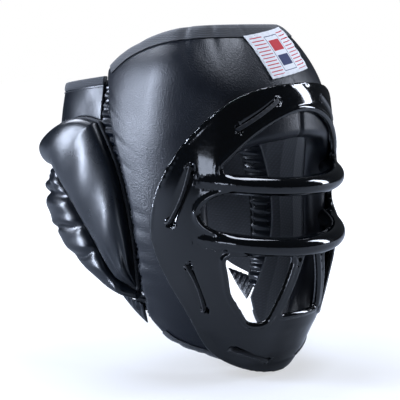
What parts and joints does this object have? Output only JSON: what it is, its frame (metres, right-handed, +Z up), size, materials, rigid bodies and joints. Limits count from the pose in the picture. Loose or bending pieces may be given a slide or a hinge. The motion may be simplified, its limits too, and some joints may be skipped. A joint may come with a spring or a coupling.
{
  "type": "boxing headgear",
  "caption": "Padded full-face boxing headgear: a foam shell, a moulded face cage laced over the front, and two padded rear wings joined by a hook-and-loop strap.",
  "frame": {"origin": "the middle of the space that the head fills, level with the eyes", "axes": "+Z up towards the crown, -Y the way the wearer faces, +X the wearer's left"},
  "size_m": [0.2004, 0.2735, 0.2914],
  "materials": {
    "grained_vinyl": "pebble grain, satin",
    "smooth_vinyl": "smooth, semi-gloss",
    "foam": "matt",
    "lining": "matt",
    "cage_plastic": "high gloss",
    "lace_cord": "flat braid",
    "label_weave": "woven",
    "webbing": "woven",
    "hook_and_loop": "napped",
    "binding_tape": "woven"
  },
  "bodies": {
    "shell": {"cover_left": "grained_vinyl", "cover_right": "grained_vinyl", "forehead_foam": "foam", "chin_foam": "foam", "side_foam_left": "foam", "side_foam_right": "foam", "lining_left": "lining", "lining_right": "lining", "crown_binding": "binding_tape", "hem_binding": "binding_tape", "rear_piping_left": "binding_tape", "rear_piping_right": "binding_tape", "jaw_gusset_left": "grained_vinyl", "jaw_gusset_right": "grained_vinyl", "forehead_label": "label_weave", "face_cage": "cage_plastic", "lace_brow_left": "lace_cord", "lace_brow_right": "lace_cord", "lace_temple_left": "lace_cord", "lace_temple_right": "lace_cord", "lace_cheek_left": "lace_cord", "lace_cheek_right": "lace_cord", "lace_chin_left": "lace_cord", "lace_chin_right": "lace_cord"},
    "wing_left": {"wing_backing_left": "lining", "ear_cushion_left": "smooth_vinyl", "neck_cushion_left": "smooth_vinyl", "ear_seam_tape_left": "binding_tape", "rear_flap_left": "smooth_vinyl", "flap_binding_left": "binding_tape", "strap_anchor": "webbing"},
    "wing_right": {"wing_backing_right": "lining", "ear_cushion_right": "smooth_vinyl", "neck_cushion_right": "smooth_vinyl", "ear_seam_tape_right": "binding_tape", "rear_flap_right": "smooth_vinyl", "flap_binding_right": "binding_tape", "loop_patch": "hook_and_loop"},
    "rear_strap": {"rear_strap": "webbing", "hook_patch": "hook_and_loop"}
  },
  "joints": [
    {"name": "rear_strap_peel", "type": "hinge", "parent": "wing_left", "child": "rear_strap", "pos_m": [0.0403, 0.146, 0.076], "axis": [0, 0, -1], "range_deg": [0, 120]},
    {"name": "wing_left_flex", "type": "hinge", "parent": "shell", "child": "wing_left", "pos_m": [0.084, 0.022, 0], "axis": [0, 0, -1], "range_deg": [0, 25]},
    {"name": "wing_right_flex", "type": "hinge", "parent": "shell", "child": "wing_right", "pos_m": [-0.084, 0.022, 0], "axis": [0, 0, 1], "range_deg": [0, 25]}
  ],
  "couplings": [
    {"joint": "wing_left_flex", "follows": "rear_strap_peel", "ratio": 0.208},
    {"joint": "wing_right_flex", "follows": "rear_strap_peel", "ratio": 0.208}
  ]
}
